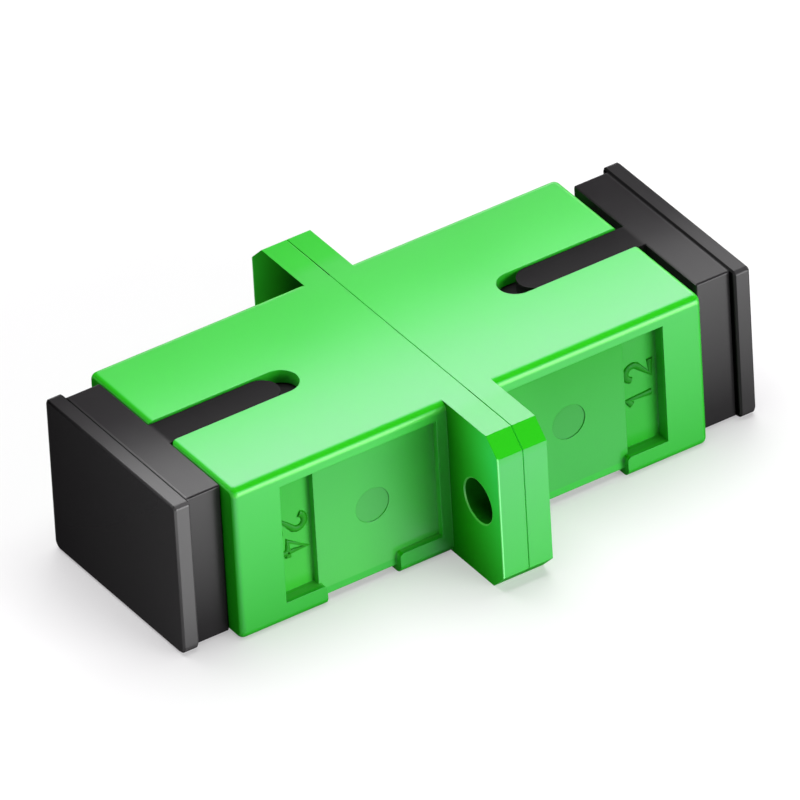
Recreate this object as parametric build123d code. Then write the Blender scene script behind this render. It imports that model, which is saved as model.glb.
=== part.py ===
from build123d import *
import os

# A flanged simplex fibre optic adapter with a dust cap in each port.
# Millimetres. +X runs along the fibre axis to the right-hand port, +Z is up through the keyways.
# The origin is the centre of the alignment sleeve, on the joint between the two housing halves.

# Housing
half_length_left = 14.0
half_length_right = 13.65
port_width = 9.1
port_height = 7.5
side_wall = 1.95
top_wall = 0.75
long_edge_round = 0.45
end_edge_round = 0.32
port_corner = 0.3
mouth_lead = 0.2

# Flange, half of it on each housing
flange_width = 22.0
flange_left = 1.5
flange_right = 1.4
flange_corner = 0.95
seam_gap = 0.03
seam_depth = 0.06
screw_edge = 2.0
screw_hole = 2.4
screw_rim_break = 0.08

# Keyway in the top wall
key_width = 1.9
key_clearance = 0.05
keyway_start = 6.0
keyway_mouth_round = 0.2

# Clip recess in each side wall, and the clip's channel across the underside between them
recess_post = 0.6
recess_rim = 0.85
recess_lip = 1.2
recess_end = 11.3
pad_end = 9.15
pad_depth = 0.4
pocket_depth = 0.8
lip_gap_start_left = 4.6
lip_gap_start_right = 4.2
lip_gap_end = 8.9
lip_round = 0.25
clip_channel_depth = 0.4
pin_mark_diameter = 1.95
pin_mark_depth = 0.05
pin_mark_place = 5.8

# Alignment sleeve
sleeve_bore = 2.5
sleeve_wall = 0.35
sleeve_length = 11.4
sleeve_slit = 0.45
sleeve_play = 0.07
sleeve_end_play = 0.05

# Sleeve holder, one in each half
base_thickness = 1.2
base_step = 0.75
base_clearance = 0.05
base_corner = 0.4
barrel_wall = 0.6
barrel_lip = 0.65
ferrule_clearance = 0.2
ferrule_lead = 0.2
arm_length = 8.0
arm_thickness = 0.65
arm_height = 3.2
arm_root_round = 0.3
arm_clearance = 0.2
hook_length = 1.0
hook_depth = 0.5
hook_flat = 0.3

# Dust cap
plug_clearance = 0.1
plug_wall = 0.6
plug_corner = 0.4
plug_reach = 8.3
key_tip_gap = 0.75
neck_length = 2.0
neck_width = 10.9
neck_drop = 0.12
neck_round = 0.12
neck_edge_break = 0.06
plate_thickness = 0.92
plate_width = 11.75
plate_height = 8.92
plate_top_corner = 0.25
plate_foot_corner = 0.5
plate_edge_break = 0.1
cap_gap_left = 0.03
cap_gap_right = 0.4

# Sizes that follow from the ones above
body_width = port_width + 2 * side_wall
body_height = port_height + 2 * top_wall
seat_depth = base_thickness + base_clearance
seat_width = port_width + 2 * base_step
keyway_width = key_width + 2 * key_clearance
plug_width = port_width - 2 * plug_clearance
plug_height = port_height - 2 * plug_clearance
key_length = min(half_length_left, half_length_right) - keyway_start - key_tip_gap
neck_top = body_height / 2 - neck_drop
screw_pitch = flange_width - 2 * screw_edge
sleeve_radius = sleeve_bore / 2 + sleeve_wall
barrel_bore = sleeve_radius + sleeve_play
barrel_radius = barrel_bore + barrel_wall
barrel_end = sleeve_length / 2 + sleeve_end_play
arm_outside = plug_width / 2 - plug_wall - arm_clearance
arm_inside = arm_outside - arm_thickness


def block(x0, x1, y0, y1, z0, z1):
    """A plain box between two corners."""
    middle = ((x0 + x1) / 2, (y0 + y1) / 2, (z0 + z1) / 2)
    return Pos(*middle) * Box(x1 - x0, y1 - y0, z1 - z0)


def bar(x0, x1, width, height, corner):
    """A bar along X with rounded long corners."""
    outline = RectangleRounded(width, height, corner)
    return extrude(Plane.YZ.offset(x0) * outline, amount=x1 - x0)


def rod(x0, x1, radius):
    """A round rod along X on the fibre axis."""
    return extrude(Plane.YZ.offset(x0) * Circle(radius), amount=x1 - x0)


def side_recess(start, lip_gap_start):
    """The space of the clip recess in the side wall that faces -Y."""
    side = -body_width / 2
    outside = side - 1
    floor = -body_height / 2
    top = body_height / 2 - recess_rim
    lip = floor + recess_lip
    corners = [
        (start, lip),
        (start, top),
        (recess_end, top),
        (recess_end, lip),
        (lip_gap_end, lip),
        (lip_gap_end, floor - 1),
        (lip_gap_start, floor - 1),
        (lip_gap_start, lip),
    ]
    outline = make_face(Polyline(*corners, close=True))
    ends = [v for v in outline.vertices() if lip_gap_start <= v.X <= lip_gap_end and v.Y > floor]
    outline = fillet(ends, lip_round)
    shallow = extrude(Plane.XZ.offset(-side - pad_depth) * outline, amount=pad_depth + 1)
    deep = block(pad_end, recess_end, outside, side + pocket_depth, lip, top)
    mark = Pos(pin_mark_place, side + pad_depth, 0) * Rot(90, 0, 0) * Cylinder(
        pin_mark_diameter / 2, 2 * pin_mark_depth)
    return shallow + deep + mark


def keyway(half_length):
    """The keyway's space: a slot through the top wall with a round inner end and a rounded mouth."""
    radius = keyway_width / 2
    middle = keyway_start + radius
    run = half_length - middle
    outline = Pos(middle, 0) * Circle(radius)
    outline += Pos(middle + run / 2, 0) * Rectangle(run, keyway_width)
    outline += Pos(half_length + 0.5, 0) * Rectangle(1, 2 * keyway_width)
    mouth = [v for v in outline.vertices() if abs(v.X - half_length) < 0.01 and abs(v.Y) < radius + 0.01]
    outline = fillet(mouth, keyway_mouth_round)
    return extrude(Plane.XY.offset(port_height / 2 - top_wall / 2) * outline, amount=2 * top_wall)


def housing(half_length, flange_thickness, lip_gap_start):
    """One moulded half of the housing, with half of the flange, on the +X side."""
    side = body_width / 2
    top = body_height / 2
    ear = flange_width / 2
    shell = block(0, half_length, -side, side, -top, top)
    shell = fillet(shell.edges().filter_by(Axis.X), long_edge_round)
    shell = fillet(shell.faces().sort_by(Axis.X)[-1].edges(), end_edge_round)
    outline = chamfer(Rectangle(flange_width, body_height).vertices(), flange_corner)
    half = shell + extrude(Plane.YZ * outline, amount=flange_thickness)
    seam = block(-1, seam_gap, -ear - 1, ear + 1, -top - 1, top + 1)
    seam -= extrude(Plane.YZ.offset(-2) * offset(outline, -seam_depth), amount=3)
    half -= seam
    half -= bar(-1, half_length + 1, port_width, port_height, port_corner)
    half -= block(-1, seat_depth, -seat_width / 2, seat_width / 2, -port_height / 2, port_height / 2)
    half -= loft([
        Plane.YZ.offset(half_length - mouth_lead) * RectangleRounded(port_width, port_height, port_corner),
        Plane.YZ.offset(half_length) * RectangleRounded(
            port_width + 2 * mouth_lead, port_height + 2 * mouth_lead, port_corner + mouth_lead),
    ])
    half -= keyway(half_length)
    recess = side_recess(flange_thickness + recess_post, lip_gap_start)
    half -= recess + mirror(recess, about=Plane.XZ)
    half -= block(lip_gap_start, lip_gap_end, -side - 1, side + 1, -top - 1, -top + clip_channel_depth)
    for place in (-screw_pitch / 2, screw_pitch / 2):
        half -= Pos(0, place, 0) * rod(-1, flange_thickness + 1, screw_hole / 2)
        rim = Cone(screw_hole / 2, screw_hole / 2 + 2 * screw_rim_break, 2 * screw_rim_break)
        half -= Pos(flange_thickness, place, 0) * Rot(0, 90, 0) * rim
    return half


def latch_arms(width):
    """The two flat latch fingers on a strip of the base plate, with hooks that face the fibre axis."""
    end = base_thickness + arm_length
    back = end - hook_length
    finger = make_face(Polyline(
        (base_thickness / 2, arm_outside),
        (base_thickness / 2, arm_inside),
        (back, arm_inside),
        (back, arm_inside - hook_depth),
        (back + hook_flat, arm_inside - hook_depth),
        (end, arm_inside),
        (end, arm_outside),
        close=True,
    ))
    outline = Pos(base_thickness / 2, 0) * Rectangle(base_thickness, width)
    outline += finger + mirror(finger, about=Plane.XZ)
    at_base = [v for v in outline.vertices() if abs(v.X - base_thickness) < 0.01]
    roots = [v for v in at_base if abs(v.Y) < arm_outside + 0.01]
    outline = fillet(roots, arm_root_round)
    return extrude(Plane.XY.offset(-arm_height / 2) * outline, amount=arm_height)


def sleeve_holder():
    """The inner moulding on the +X side: base plate, barrel for the sleeve and two latch arms."""
    width = seat_width - 2 * base_clearance
    height = port_height - 2 * base_clearance
    tip = barrel_end + barrel_lip
    hole = sleeve_bore / 2 + ferrule_clearance
    holder = bar(0, base_thickness, width, height, base_corner)
    holder += latch_arms(width - 2 * base_corner)
    holder += rod(0, tip, barrel_radius)
    holder -= rod(-1, barrel_end, barrel_bore)
    holder -= rod(-1, tip + 1, hole)
    lead = Cone(hole, hole + ferrule_lead, ferrule_lead)
    holder -= Pos(tip - ferrule_lead / 2, 0, 0) * Rot(0, 90, 0) * lead
    return holder


def split_sleeve():
    """The springy ceramic tube that lines up the two ferrules, slit along its whole length."""
    half = sleeve_length / 2
    tube = rod(-half, half, sleeve_radius) - rod(-half - 1, half + 1, sleeve_bore / 2)
    return tube - block(-half - 1, half + 1, -sleeve_slit / 2, sleeve_slit / 2, 0, sleeve_radius + 1)


def dust_cap(face):
    """One dust cap on the +X side; face is where its neck begins, outside the port."""
    back = face + neck_length
    end = back + plate_thickness
    inner = face - plug_reach
    neck = bar(face, back, neck_width, 2 * neck_top, neck_round)
    neck = chamfer(neck.faces().sort_by(Axis.X)[0].edges(), neck_edge_break)
    outline = Rectangle(plate_width, plate_height)
    outline = fillet(outline.vertices().sort_by(Axis.Y)[:2], plate_foot_corner)
    outline = fillet(outline.vertices().sort_by(Axis.Y)[-2:], plate_top_corner)
    plate = extrude(Plane.YZ.offset(back) * outline, amount=end - back)
    rims = plate.faces().sort_by(Axis.X)[0].edges() + plate.faces().sort_by(Axis.X)[-1].edges()
    plate = chamfer(rims, plate_edge_break)
    plug = bar(inner, face + neck_length / 2, plug_width, plug_height, plug_corner)
    radius = key_width / 2
    tip = face - key_length
    tongue = Pos(tip + radius, 0) * Circle(radius)
    run = key_length - radius + neck_length / 2
    tongue += Pos(tip + radius + run / 2, 0) * Rectangle(run, key_width)
    low = plug_height / 2 - plug_wall / 2
    key = extrude(Plane.XY.offset(low) * tongue, amount=neck_top - low)
    cap = neck + plate + plug + key
    hollow = bar(inner - 1, back, plug_width - 2 * plug_wall, plug_height - 2 * plug_wall, plug_corner / 2)
    return cap - hollow


def turned(solid):
    """The same piece on the -X side, turned half round the upright axis."""
    return Rot(0, 0, 180) * solid


pieces = {
    "housing_left": turned(housing(half_length_left, flange_left, lip_gap_start_left)),
    "housing_right": housing(half_length_right, flange_right, lip_gap_start_right),
    "sleeve_holder_left": turned(sleeve_holder()),
    "sleeve_holder_right": sleeve_holder(),
    "alignment_sleeve": split_sleeve(),
    "dust_cap_left": turned(dust_cap(half_length_left + cap_gap_left)),
    "dust_cap_right": dust_cap(half_length_right + cap_gap_right),
}

os.makedirs("parts", exist_ok=True)
for name, piece in pieces.items():
    solids = piece.solids()
    box = piece.bounding_box()
    print(name, "solids", len(solids), "volume", round(piece.volume, 2), "valid", piece.is_valid,
          "low", [round(v, 3) for v in box.min], "high", [round(v, 3) for v in box.max])
    export_step(piece.solid(), f"parts/{name}.step")
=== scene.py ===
import math

import bmesh
import bpy
from mathutils import Matrix, Vector


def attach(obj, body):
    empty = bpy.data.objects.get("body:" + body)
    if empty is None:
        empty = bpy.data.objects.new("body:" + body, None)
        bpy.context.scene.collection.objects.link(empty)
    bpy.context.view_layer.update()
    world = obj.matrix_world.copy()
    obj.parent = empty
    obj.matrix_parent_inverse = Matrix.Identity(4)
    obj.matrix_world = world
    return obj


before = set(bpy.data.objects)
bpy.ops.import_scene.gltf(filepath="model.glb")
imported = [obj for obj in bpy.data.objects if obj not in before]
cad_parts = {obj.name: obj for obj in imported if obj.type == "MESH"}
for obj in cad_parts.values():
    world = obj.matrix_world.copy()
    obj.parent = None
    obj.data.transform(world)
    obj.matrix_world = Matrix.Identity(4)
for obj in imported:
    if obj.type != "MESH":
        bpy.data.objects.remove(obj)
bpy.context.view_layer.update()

# A flanged fibre optic adapter in green ABS with a black dust cap in each port.
# Lengths are written in millimetres and turned to metres by MM.
MM = 0.001

# Sizes on the housing
SIDE_FACE = -6.5
POCKET_DEPTH = 0.8
FLANGE_HALF = 1.5
SCREW_PLACE = (0.0, 9.0, 0.0)
SCREW_WALL = 1.215
SCREW_MOUTH = 1.3
PIN_PLACE = (5.8, 6.06, 0.0)
PIN_RADIUS = 0.985

# Strokes of the raised numbers
STROKE_WIDTH = 0.4
STROKE_RELIEF = 0.1
STROKE_SIDES = 3
DIGIT_TALL = 1.45
DIGIT_WIDE = 0.6

# The table
TABLE_LEVEL = -4.502
TABLE_REACH = 1500
TABLE_SPLIT = -6

# Places on the housing: middle, half size and softness. Both signs of each axis count.
HOUSING_PLACES = {
    "recess": ((7.0, 5.95, -0.3), (5.0, 0.35, 4.0), 0.02),
    "pocket": ((10.2, 5.7, 0.0), (1.05, 0.2, 4.0), 0.02),
    "raised": ((10.2, 5.83, 0.0), (1.03, 0.11, 1.6), 0.01),
    "flank": ((7.7, 6.5, 0.0), (6.2, 0.12, 5.0), 0.02),
    "weld": ((0.0, 0.0, 0.0), (0.035, 12.0, 5.0), 0.01),
    "port_end": ((13.8, 0.0, 0.0), (0.3, 7.0, 5.0), 0.02),
    "ear_top": ((0.0, 9.2, 4.5), (1.9, 1.9, 1.0), 0.4),
    "ear_side": ((0.0, 9.0, 0.0), (1.7, 2.8, 5.0), 0.02),
    "ear_end": ((0.0, 10.95, 0.0), (1.7, 0.15, 5.0), 0.02),
    "ear_corner": ((1.5, 11.0, 0.0), (0.07, 0.07, 3.6), 0.02),
}

# Places on the dust caps, in the same way
CAP_PLACES = {
    "key": ((10.0, 0.0, 4.4), (4.0, 1.05, 0.3), 0.1),
    "plate": ((16.5, 0.0, 0.0), (0.42, 7.0, 7.0), 0.02),
    "inner_face": ((16.07, 0.0, 0.0), (0.08, 7.0, 7.0), 0.01),
    "outer_break": ((16.93, 0.0, 4.46), (0.05, 7.0, 0.11), 0.01),
    "rim": ((16.6, 6.0, 0.0), (0.7, 0.3, 6.0), 0.05),
    "face": ((17.0, 0.0, 0.0), (0.09, 6.0, 6.0), 0.01),
    "lid": ((16.6, 0.0, 4.5), (0.7, 7.0, 0.3), 0.02),
}


# Colours and nodes

def linear(hex_code):
    """An sRGB hex colour as linear red, green, blue and alpha."""
    channels = [int(hex_code[place:place + 2], 16) / 255 for place in (1, 3, 5)]
    turned = [c / 12.92 if c <= 0.04045 else ((c + 0.055) / 1.055) ** 2.4 for c in channels]
    return (*turned, 1.0)


def in_metres(lengths_mm):
    """Millimetres as metres."""
    return [length * MM for length in lengths_mm]


def add(tree, kind, links=None, values=None, **settings):
    """Adds one node with its settings, its constant inputs and the sockets that feed it."""
    made = tree.nodes.new(kind)
    for name, value in settings.items():
        setattr(made, name, value)
    for name, value in (values or {}).items():
        made.inputs[name].default_value = value
    for name, socket in (links or {}).items():
        tree.links.new(socket, made.inputs[name])
    return made


def feed(tree, socket, value):
    """Gives a socket a plain number or a link."""
    if isinstance(value, float):
        socket.default_value = value
    else:
        tree.links.new(value, socket)


def empty_material(name):
    """A material with no nodes but its output."""
    material = bpy.data.materials.new(name)
    material.use_nodes = True
    material.node_tree.nodes.clear()
    out = material.node_tree.nodes.new("ShaderNodeOutputMaterial")
    return material, material.node_tree, out


def grain_scale(size_mm):
    """Noise scale whose blobs are about that many millimetres across."""
    return 1 / (size_mm * MM)


def joined(tree, operation, first, *others):
    """Amounts joined one after the other by one operation. All but the first may be plain numbers."""
    for other in others:
        step = add(tree, "ShaderNodeMath", {0: first}, operation=operation)
        feed(tree, step.inputs[1], other)
        first = step.outputs["Value"]
    return first


def product(tree, first, *others):
    """Amounts multiplied."""
    return joined(tree, "MULTIPLY", first, *others)


def unsigned(tree, value):
    """A number without its sign."""
    return add(tree, "ShaderNodeMath", {0: value}, operation="ABSOLUTE").outputs["Value"]


def blend(tree, amount, first, second):
    """A number that goes from the first to the second as the amount goes from nought to one."""
    mixed = add(tree, "ShaderNodeMix", {"Factor": amount}, data_type="FLOAT")
    feed(tree, mixed.inputs["A"], first)
    feed(tree, mixed.inputs["B"], second)
    return mixed.outputs["Result"]


def four_way(tree, right, low, left_levels, right_levels):
    """A number set at the top and at the foot of the left half, and at those of the right half."""
    return blend(tree, right, blend(tree, low, *left_levels), blend(tree, low, *right_levels))


def ramp(tree, value, first, last):
    """Nought at the first value, one at the last, and a straight line between them."""
    drawn = add(tree, "ShaderNodeMapRange", {"Value": value},
                {"From Min": first, "From Max": last, "To Min": 0.0, "To Max": 1.0})
    return drawn.outputs["Result"]


def near_to(tree, value, middle, reach, soft):
    """One where a value is within reach of the middle one, with a soft limit."""
    off = unsigned(tree, joined(tree, "SUBTRACT", value, middle))
    return ramp(tree, off, reach + soft, reach - soft)


def folded(tree, place, middle_mm):
    """Object coordinates without their signs, measured from a point."""
    across = add(tree, "ShaderNodeVectorMath", {0: place.outputs["Object"]}, operation="ABSOLUTE")
    across = add(tree, "ShaderNodeVectorMath", {0: across.outputs["Vector"]},
                 {1: in_metres(middle_mm)}, operation="SUBTRACT")
    return across.outputs["Vector"]


def zone(tree, place, middle_mm, half_mm, soft_mm):
    """One inside a box given by its middle and half sizes, nought outside."""
    across = folded(tree, place, middle_mm)
    across = add(tree, "ShaderNodeVectorMath", {0: across}, operation="ABSOLUTE")
    across = add(tree, "ShaderNodeVectorMath", {0: across.outputs["Vector"]},
                 {1: in_metres(half_mm)}, operation="SUBTRACT")
    parts = add(tree, "ShaderNodeSeparateXYZ", {"Vector": across.outputs["Vector"]})
    most = joined(tree, "MAXIMUM", parts.outputs["X"], parts.outputs["Y"], parts.outputs["Z"])
    return ramp(tree, most, soft_mm * MM, -soft_mm * MM)


def zones(tree, place, boxes):
    """Every named box as an amount."""
    return {name: zone(tree, place, *box) for name, box in boxes.items()}


def distance(tree, place, middle_mm, axes):
    """Distance from a point, along the axes marked with one."""
    along = add(tree, "ShaderNodeVectorMath", {0: folded(tree, place, middle_mm)}, {1: axes},
                operation="MULTIPLY")
    length = add(tree, "ShaderNodeVectorMath", {0: along.outputs["Vector"]}, operation="LENGTH")
    return length.outputs["Value"]


def spot_and_facing(tree, place):
    """The place on the object and the direction that its surface faces, each as X, Y and Z."""
    surface = add(tree, "ShaderNodeNewGeometry")
    spot = add(tree, "ShaderNodeSeparateXYZ", {"Vector": place.outputs["Object"]})
    facing = add(tree, "ShaderNodeSeparateXYZ", {"Vector": surface.outputs["Normal"]})
    return spot.outputs, facing.outputs


def coloured(tree, amount, colour, hex_code, blend_type="MIX"):
    """A colour that goes over to another one as the amount goes from nought to one."""
    mixed = add(tree, "ShaderNodeMix", {"Factor": amount}, data_type="RGBA", blend_type=blend_type)
    if isinstance(colour, str):
        mixed.inputs["A"].default_value = linear(colour)
    else:
        tree.links.new(colour, mixed.inputs["A"])
    mixed.inputs["B"].default_value = linear(hex_code)
    return mixed.outputs["Result"]


def tinted(tree, amount, colour, hex_code):
    """A colour multiplied by another one as the amount goes from nought to one."""
    return coloured(tree, amount, colour, hex_code, "MULTIPLY")


def moulded(name, deep, pale, roughness, ior, grain_mm, grain_depth_mm, flow_mm, soft_edge_mm=0.05):
    """An injection moulded plastic: a fine spark grain from the tool, and faint cloudy flow marks."""
    material, tree, out = empty_material(name)
    place = add(tree, "ShaderNodeTexCoord")
    flow = add(tree, "ShaderNodeTexNoise", {"Vector": place.outputs["Object"]},
               {"Scale": grain_scale(flow_mm), "Detail": 3.0, "Roughness": 0.6})
    colour = coloured(tree, flow.outputs["Fac"], deep, pale)
    grain = add(tree, "ShaderNodeTexNoise", {"Vector": place.outputs["Object"]},
                {"Scale": grain_scale(grain_mm), "Detail": 2.0, "Roughness": 0.5})
    sheen = add(tree, "ShaderNodeMapRange", {"Value": flow.outputs["Fac"]},
                {"From Min": 0.3, "From Max": 0.7, "To Min": roughness - 0.015, "To Max": roughness + 0.015})
    edge = add(tree, "ShaderNodeBevel", values={"Radius": soft_edge_mm * MM}, samples=6)
    bump = add(tree, "ShaderNodeBump", {"Height": grain.outputs["Fac"], "Normal": edge.outputs["Normal"]},
               {"Strength": 1.0, "Distance": grain_depth_mm * MM})
    body = add(tree, "ShaderNodeBsdfPrincipled",
               {"Base Color": colour, "Roughness": sheen.outputs["Result"],
                "Normal": bump.outputs["Normal"]},
               {"IOR": ior})
    tree.links.new(body.outputs["BSDF"], out.inputs["Surface"])
    return material, tree, place, colour, body, bump


def finish_body(tree, body, colour, gloss, plain_gloss):
    """Links colour and gloss. The plain gloss stays for an export that drops a linked one."""
    tree.links.new(colour, body.inputs["Base Color"])
    body.inputs["Specular IOR Level"].default_value = plain_gloss
    tree.links.new(gloss, body.inputs["Specular IOR Level"])


def green_plastic():
    """Moulded ABS, coloured green in the mass: satin, with a cool sheen where it turns to the light."""
    material, tree, place, colour, body, bump = moulded(
        "moulded_green_abs", "#24b31d", "#2bb722", roughness=0.38, ior=1.5,
        grain_mm=0.12, grain_depth_mm=0.004, flow_mm=5.0, soft_edge_mm=0.04)
    at = zones(tree, place, HOUSING_PLACES)
    spot, facing = spot_and_facing(tree, place)
    low = ramp(tree, spot["Z"], 4.0 * MM, -4.0 * MM)
    right = ramp(tree, spot["X"], -5.0 * MM, 5.0 * MM)
    aside = unsigned(tree, spot["Y"])

    # Painted light and shade on the clip recess and the flat sides: the recess darker at its top on the
    # right and paler towards its foot on the left, and the left side lighter at its top.
    painted_recess_shade = four_way(tree, right, low, (0.02, 0.0), (0.2, 0.02))
    painted_recess_light = blend(tree, right, low, 0.0)
    painted_flank_light = four_way(tree, right, low, (1.0, 0.0), (0.0, 0.0))

    # Painted sheen on the flat top: its green is toned down towards the front edge, where the highlight
    # falls, and its far part is painted paler, but not on the ears.
    upward = ramp(tree, facing["Z"], 0.97, 0.99)
    painted_sheen_front = product(tree, upward, ramp(tree, spot["Y"], 6.0 * MM, -6.0 * MM))
    painted_sheen_far = product(tree, upward, ramp(tree, spot["Y"], -2.0 * MM, 6.0 * MM), blend(tree, right, 0.5, 0.9))
    painted_sheen_far = blend(tree, at["ear_top"], painted_sheen_far, 0.0)

    # Rounded edges and chamfers: where they leave the top, and where they meet the sides. Where they leave
    # the top they carry a dark line of painted shade.
    leaving = near_to(tree, facing["Z"], 0.78, 0.17, 0.04)
    meeting = near_to(tree, facing["Z"], 0.29, 0.2, 0.05)

    # Painted shade on the left faces of the ears: dark beside the body, painted lighter at their ends and
    # higher up, and darker still on the far ear near the body.
    leftward = ramp(tree, facing["X"], -0.9, -0.97)
    on_ear = product(tree, leftward, at["ear_side"])
    on_end = product(tree, leftward, at["port_end"])
    far_side = ramp(tree, spot["Y"], -1.0 * MM, 1.0 * MM)
    high = blend(tree, ramp(tree, spot["Z"], -4.5 * MM, 3.0 * MM), 0.35, 1.0)
    pale = product(tree, ramp(tree, aside, 6.5 * MM, 11.0 * MM), high, blend(tree, far_side, 1.0, 0.4))
    painted_far_ear_shade = product(tree, ramp(tree, aside, 11.0 * MM, 7.0 * MM), far_side)

    # Ejector pins leave round marks. Each screw hole has painted shade on its wall, deepest towards the
    # middle of the flange, and a painted highlight round its mouth.
    disc = joined(tree, "LESS_THAN", distance(tree, place, PIN_PLACE, (1, 1, 1)), PIN_RADIUS * MM)
    radius = distance(tree, place, SCREW_PLACE, (0, 1, 1))
    wall = joined(tree, "LESS_THAN", radius, SCREW_WALL * MM)
    painted_mouth_highlight = joined(tree, "SUBTRACT", joined(tree, "LESS_THAN", radius, SCREW_MOUTH * MM), wall)
    painted_hole_shade = blend(tree, ramp(tree, unsigned(tree, spot["X"]), FLANGE_HALF * MM, 0.2 * MM), 0.6, 0.92)

    for finish, amount, hex_code in (
            (tinted, at["recess"], "#fff2ff"),
            (tinted, product(tree, at["recess"], painted_recess_shade), "#000000"),
            (coloured, product(tree, at["recess"], painted_recess_light), "#3bbb30"),
            # Painted shade and light: the flat sides darker towards the foot, and the left one lighter at
            # its top.
            (tinted, product(tree, at["flank"], low), "#ebefeb"),
            (coloured, product(tree, at["flank"], painted_flank_light), "#2dbe24"),
            (coloured, at["weld"], "#34d22d"),
            (tinted, painted_sheen_front, "#ffecff"),
            (coloured, painted_sheen_far, "#3db73d"),
            (tinted, leaving, "#eef0b4"),
            (coloured, on_ear, "#0c7403"),
            (coloured, product(tree, on_ear, pale), "#3de008"),
            (coloured, product(tree, on_ear, pale, pale), "#3de966"),
            (tinted, product(tree, on_ear, painted_far_ear_shade), "#7e8a7e"),
            # Painted highlight on the upright outer edges of the ears.
            (coloured, at["ear_corner"], "#7af27f"),
            # Painted shade on the ends of the ports around the caps.
            (tinted, on_end, "#b4cca8"),
            # Painted shade on the raised numbers.
            (tinted, at["raised"], "#b4c890"),
            (tinted, disc, "#f5eff5"),
            (tinted, product(tree, wall, painted_hole_shade), "#101010"),
            (coloured, painted_mouth_highlight, "#53c94a")):
        colour = finish(tree, amount, colour, hex_code)

    gloss = 0.5
    for amount, level in (
            (at["recess"], four_way(tree, right, low, (0.46, 0.66), (0.18, 0.66))),
            (at["flank"], blend(tree, low, 0.62, 0.36)),
            (at["pocket"], 0.3),
            (at["ear_end"], blend(tree, low, 0.9, 0.5)),
            (at["ear_top"], 0.42),
            (leaving, 0.08),
            (meeting, 0.65),
            (at["raised"], 0.1),
            (on_ear, 0.04),
            (on_end, 0.04),
            (wall, 0.0)):
        gloss = blend(tree, amount, gloss, level)
    finish_body(tree, body, colour, gloss, plain_gloss=0.4)

    # The sheen is cool but on the edges that meet the sides, and the grain is deepest in the clip recess.
    whiter = blend(tree, at["raised"], meeting, 0.0)
    tree.links.new(coloured(tree, whiter, "#cc00ff", "#ffffff"), body.inputs["Specular Tint"])
    tree.links.new(blend(tree, at["recess"], 0.15, 1.0), bump.inputs["Strength"])
    return material


def black_plastic():
    """Moulded ABS, black: charcoal flats, polished sides, and duller tops and keys."""
    material, tree, place, colour, body, bump = moulded(
        "moulded_black_abs", "#222022", "#252425", roughness=0.25, ior=1.5,
        grain_mm=0.10, grain_depth_mm=0.0004, flow_mm=3.0, soft_edge_mm=0.03)
    at = zones(tree, place, CAP_PLACES)
    spot, facing = spot_and_facing(tree, place)
    low = ramp(tree, spot["Z"], 4.0 * MM, -3.5 * MM)
    right = ramp(tree, spot["X"], -12.0 * MM, 12.0 * MM)
    near = ramp(tree, spot["Y"], 6.0 * MM, -6.0 * MM)
    # Painted shade: the keys in their keyways, the inner face of the plate and the break on its outer top
    # edge are darkened.
    for part, hex_code in (("key", "#d0d0d0"), ("inner_face", "#505050"), ("outer_break", "#707070")):
        colour = tinted(tree, at[part], colour, hex_code)

    # Painted light on the plates: their outer faces lighter towards the front, their upright edges lighter,
    # most on the left cap, and their tops lighter, on the left cap towards the front.
    face = product(tree, at["face"], near, 0.6)
    rim = product(tree, at["rim"], blend(tree, right, 1.0, 0.4))
    lid = product(tree, at["lid"], ramp(tree, facing["Z"], 0.6, 0.8), blend(tree, right, near, 0.2))
    colour = coloured(tree, joined(tree, "MAXIMUM", face, rim, lid), colour, "#464546")

    # The sides shine less towards the foot, and the right cap is the duller one.
    top = blend(tree, right, 0.085, blend(tree, at["plate"], 0.052, 0.042))
    top = blend(tree, at["key"], top, 0.02)
    plate_side = four_way(tree, right, low, (0.48, 0.34), (0.31, 0.02))
    side = blend(tree, at["plate"], blend(tree, low, 0.38, 0.06), plate_side)
    gloss = blend(tree, facing["Z"], side, top)
    for part, level in (("inner_face", 0.01), ("outer_break", 0.02)):
        gloss = blend(tree, at[part], gloss, level)
    finish_body(tree, body, colour, gloss, plain_gloss=0.2)
    return material


green_abs = green_plastic()
black_abs = black_plastic()

# Natural glass-filled engineering plastic of the hidden holders: warm white and fairly dull.
natural_plastic = moulded("moulded_natural_plastic", "#dedbd0", "#e8e5da", roughness=0.5, ior=1.55,
                          grain_mm=0.15, grain_depth_mm=0.0012, flow_mm=2.0)[0]

# Polished zirconia of the split sleeve: hard, bright and nearly smooth.
zirconia = moulded("polished_zirconia", "#eceae4", "#f4f3ee", roughness=0.14, ior=2.1,
                   grain_mm=0.3, grain_depth_mm=0.0002, flow_mm=1.5)[0]


def finish_nodes(names, material):
    """Gives CAD nodes their finish."""
    for name in names:
        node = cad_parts[name]
        node.data.materials.clear()
        node.data.materials.append(material)


finish_nodes(["housing_left", "housing_right"], green_abs)
finish_nodes(["dust_cap_left", "dust_cap_right"], black_abs)
finish_nodes(["sleeve_holder_left", "sleeve_holder_right"], natural_plastic)
finish_nodes(["alignment_sleeve"], zirconia)


# Raised cavity numbers on the floors of the two deep pockets

def arc(middle, radius, first, last, steps=8):
    """Points on an arc, with its angles in degrees."""
    turns = [math.radians(first + (last - first) * step / steps) for step in range(steps + 1)]
    return [(middle[0] + radius * math.cos(turn), middle[1] + radius * math.sin(turn)) for turn in turns]


# Strokes of the digits in use, in a cell DIGIT_WIDE wide and 1 tall
DIGIT_STROKES = {
    "1": [[(0.12, 0.80), (0.34, 1.0), (0.34, 0.0)]],
    "2": [arc((0.30, 0.71), 0.29, 165, -35) + [(0.0, 0.0), (0.62, 0.0)]],
    "4": [[(0.46, 0.0), (0.46, 1.0), (0.0, 0.28), (0.66, 0.28)]],
}


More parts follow.
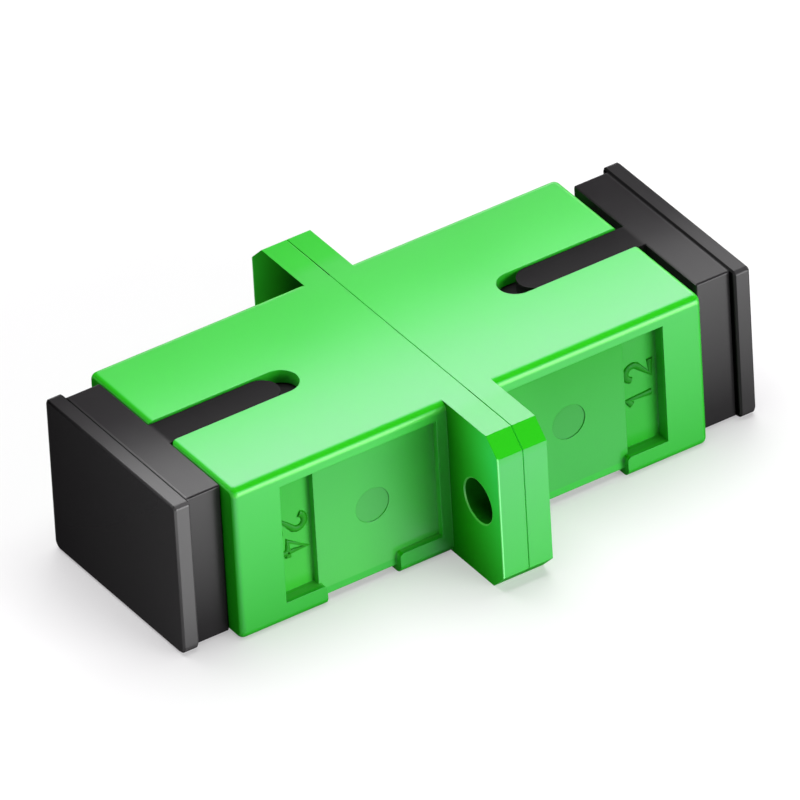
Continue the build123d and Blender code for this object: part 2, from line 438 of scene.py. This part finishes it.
def raised_digits(name, digits, step, reading, upward, middle):
    """Soft raised strokes on a pocket's floor. They read along one direction, with their tops in another."""
    curve = bpy.data.curves.new(name, "CURVE")
    curve.dimensions = "3D"
    curve.bevel_depth = STROKE_WIDTH / 2 * MM
    curve.bevel_resolution = STROKE_SIDES
    curve.use_fill_caps = True
    start = -(step * (len(digits) - 1) + DIGIT_WIDE) * DIGIT_TALL / 2
    for index, digit in enumerate(digits):
        for stroke in DIGIT_STROKES[digit]:
            line = curve.splines.new("POLY")
            line.points.add(len(stroke) - 1)
            for point, (across, up) in zip(line.points, stroke):
                along = start + (across + index * step) * DIGIT_TALL
                point.co = (along * MM, (up - 0.5) * DIGIT_TALL * MM, 0, 1)
    written = bpy.data.objects.new(name + "_curve", curve)
    bpy.context.scene.collection.objects.link(written)
    mesh = bpy.data.meshes.new_from_object(written.evaluated_get(bpy.context.evaluated_depsgraph_get()))
    bpy.data.objects.remove(written)
    outward = Vector(reading).cross(Vector(upward))
    turn = Matrix((reading, upward, outward)).transposed().to_4x4()
    flatter = Matrix.Diagonal((1, 1, STROKE_RELIEF / (STROKE_WIDTH / 2), 1))
    mesh.transform(Matrix.Translation(Vector(middle) * MM) @ turn @ flatter)
    mesh.shade_smooth()
    mesh.name = name
    mesh.materials.clear()
    mesh.materials.append(green_abs)
    piece = bpy.data.objects.new(name, mesh)
    bpy.context.scene.collection.objects.link(piece)
    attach(piece, "adapter")


pocket_floor = SIDE_FACE + POCKET_DEPTH
raised_digits("cavity_number_left", "24", 0.95, (0, 0, -1), (1, 0, 0), (-10.25, pocket_floor, -0.1))
raised_digits("cavity_number_right", "12", 1.1, (0, 0, 1), (-1, 0, 0), (10.2, pocket_floor, 0.2))


# Table, light and camera

def grey(level):
    """A neutral linear colour."""
    return (level, level, level, 1)


def by_ray(tree, ray, out, others, seen):
    """Camera rays get one shader and all others another."""
    either = add(tree, "ShaderNodeMixShader", {"Fac": ray.outputs["Is Camera Ray"]})
    tree.links.new(others, either.inputs[1])
    tree.links.new(seen, either.inputs[2])
    tree.links.new(either.outputs["Shader"], out.inputs["Surface"])


def white_laminate():
    """A white table top. It keeps soft shadows, and goes to white for the camera where it is open."""
    material, tree, out = empty_material("white_laminate")
    ray = add(tree, "ShaderNodeLightPath")
    seen = add(tree, "ShaderNodeBsdfDiffuse", values={"Color": grey(0.51)})
    lift = add(tree, "ShaderNodeEmission", values={"Color": (0.37, 0.362, 0.37, 1), "Strength": 1.0})
    lifted = add(tree, "ShaderNodeAddShader", {0: seen.outputs["BSDF"], 1: lift.outputs["Emission"]})
    bounced = add(tree, "ShaderNodeBsdfDiffuse", values={"Color": grey(0.42)})
    by_ray(tree, ray, out, bounced.outputs["BSDF"], lifted.outputs["Shader"])
    return material


def table_top(name, near_y, far_y, laminate, bounces):
    """One half of the wide pale table. Only the half in front of the object throws light back at it."""
    shape = bmesh.new()
    bmesh.ops.create_grid(shape, x_segments=1, y_segments=1, size=1.0)
    deep = (far_y - near_y) / 2
    bmesh.ops.scale(shape, verts=shape.verts, vec=(TABLE_REACH * MM, deep * MM, 1))
    bmesh.ops.translate(shape, verts=shape.verts, vec=(0, (near_y + deep) * MM, TABLE_LEVEL * MM))
    mesh = bpy.data.meshes.new(name)
    shape.to_mesh(mesh)
    shape.free()
    mesh.materials.append(laminate)
    table = bpy.data.objects.new(name, mesh)
    bpy.context.scene.collection.objects.link(table)
    table.visible_glossy = False
    table.visible_diffuse = bounces
    table.visible_shadow = False


def softbox(name, place, towards, wide, tall, radiance, diffuse=True, glossy=True):
    """A soft rectangular lamp, its long side level along X, with its face's brightness."""
    lamp = bpy.data.lights.new(name, "AREA")
    lamp.shape = "RECTANGLE"
    lamp.size = wide * MM
    lamp.size_y = tall * MM
    lamp.energy = radiance * math.pi * wide * tall * MM * MM
    box = bpy.data.objects.new(name, lamp)
    away = (Vector(place) - Vector(towards)).normalized()
    along = (Vector((1, 0, 0)) - away * away.x).normalized()
    turn = Matrix((along, away.cross(along), away)).transposed().to_4x4()
    box.matrix_world = Matrix.Translation(Vector(place) * MM) @ turn
    box.visible_camera = False
    box.visible_diffuse = diffuse
    box.visible_glossy = glossy
    bpy.context.scene.collection.objects.link(box)


def room_light():
    """An even dim room, dimmer still in reflections, and white where the camera sees it."""
    world = bpy.data.worlds.new("white_room")
    bpy.context.scene.world = world
    world.use_nodes = True
    tree = world.node_tree
    tree.nodes.clear()
    ray = add(tree, "ShaderNodeLightPath")
    room = add(tree, "ShaderNodeMapRange", {"Value": ray.outputs["Is Glossy Ray"]},
               {"From Min": 0.0, "From Max": 1.0, "To Min": 0.09, "To Max": 0.03})
    dim = add(tree, "ShaderNodeBackground", {"Strength": room.outputs["Result"]}, {"Color": grey(1.0)})
    white = add(tree, "ShaderNodeBackground", values={"Color": grey(1.0), "Strength": 1.0})
    out = tree.nodes.new("ShaderNodeOutputWorld")
    by_ray(tree, ray, out, dim.outputs["Background"], white.outputs["Background"])


def photo_camera():
    """A long lens at the photograph's angle, turned a little about its own axis as the photograph is."""
    azimuth, elevation, roll = math.radians(-31.504), math.radians(35.042), math.radians(-3.387)
    distance, aside, above = 1075.0, -0.1163, 0.2029
    aim = Vector((0, 0, 0.15))
    back = Vector((math.sin(azimuth) * math.cos(elevation), -math.cos(azimuth) * math.cos(elevation),
                   math.sin(elevation)))
    level = Vector((0, 0, 1)).cross(back).normalized()
    upright = back.cross(level)
    right = math.cos(roll) * level + math.sin(roll) * upright
    up = math.cos(roll) * upright - math.sin(roll) * level
    place = aim + back * distance + right * aside + up * above
    lens = bpy.data.cameras.new("photo_camera")
    lens.sensor_width = 36.0
    lens.lens = 979.6
    lens.clip_start = 0.05
    lens.clip_end = 20.0
    camera = bpy.data.objects.new("photo_camera", lens)
    turn = Matrix((right, up, back)).transposed().to_4x4()
    camera.matrix_world = Matrix.Translation(place * MM) @ turn
    bpy.context.scene.collection.objects.link(camera)
    bpy.context.scene.camera = camera


laminate = white_laminate()
table_top("table_front", -TABLE_REACH, TABLE_SPLIT, laminate, bounces=True)
table_top("table_back", TABLE_SPLIT, TABLE_REACH, laminate, bounces=False)
room_light()

# Some lamps light the plastic, some show only as highlights on it, and the rear one does both.
softbox("overhead_softbox", (30, 60, 330), (0, 0, 0), 320, 320, 4.7, glossy=False)
softbox("front_panel", (95, -195, 38), (0, 0, 0), 160, 120, 9.2, glossy=False)
softbox("left_window", (-260, 0, 60), (0, 0, 0), 100, 400, 2.2, glossy=False)
softbox("sheen_strip", (11, 5.6, 19), (11, -13.7, 3.15), 90, 14, 9.5, diffuse=False)
softbox("edge_panel", (60, -130, 6), (0, -6.5, 4), 160, 60, 9.0, diffuse=False)
softbox("front_card", (20, -45, -12), (20, -45, 100), 200, 58, 2.3, diffuse=False)
softbox("rear_softbox", (150, 200, 40), (0, 0, 0), 160, 80, 4.4)
photo_camera()

bpy.context.scene.view_settings.view_transform = "Standard"
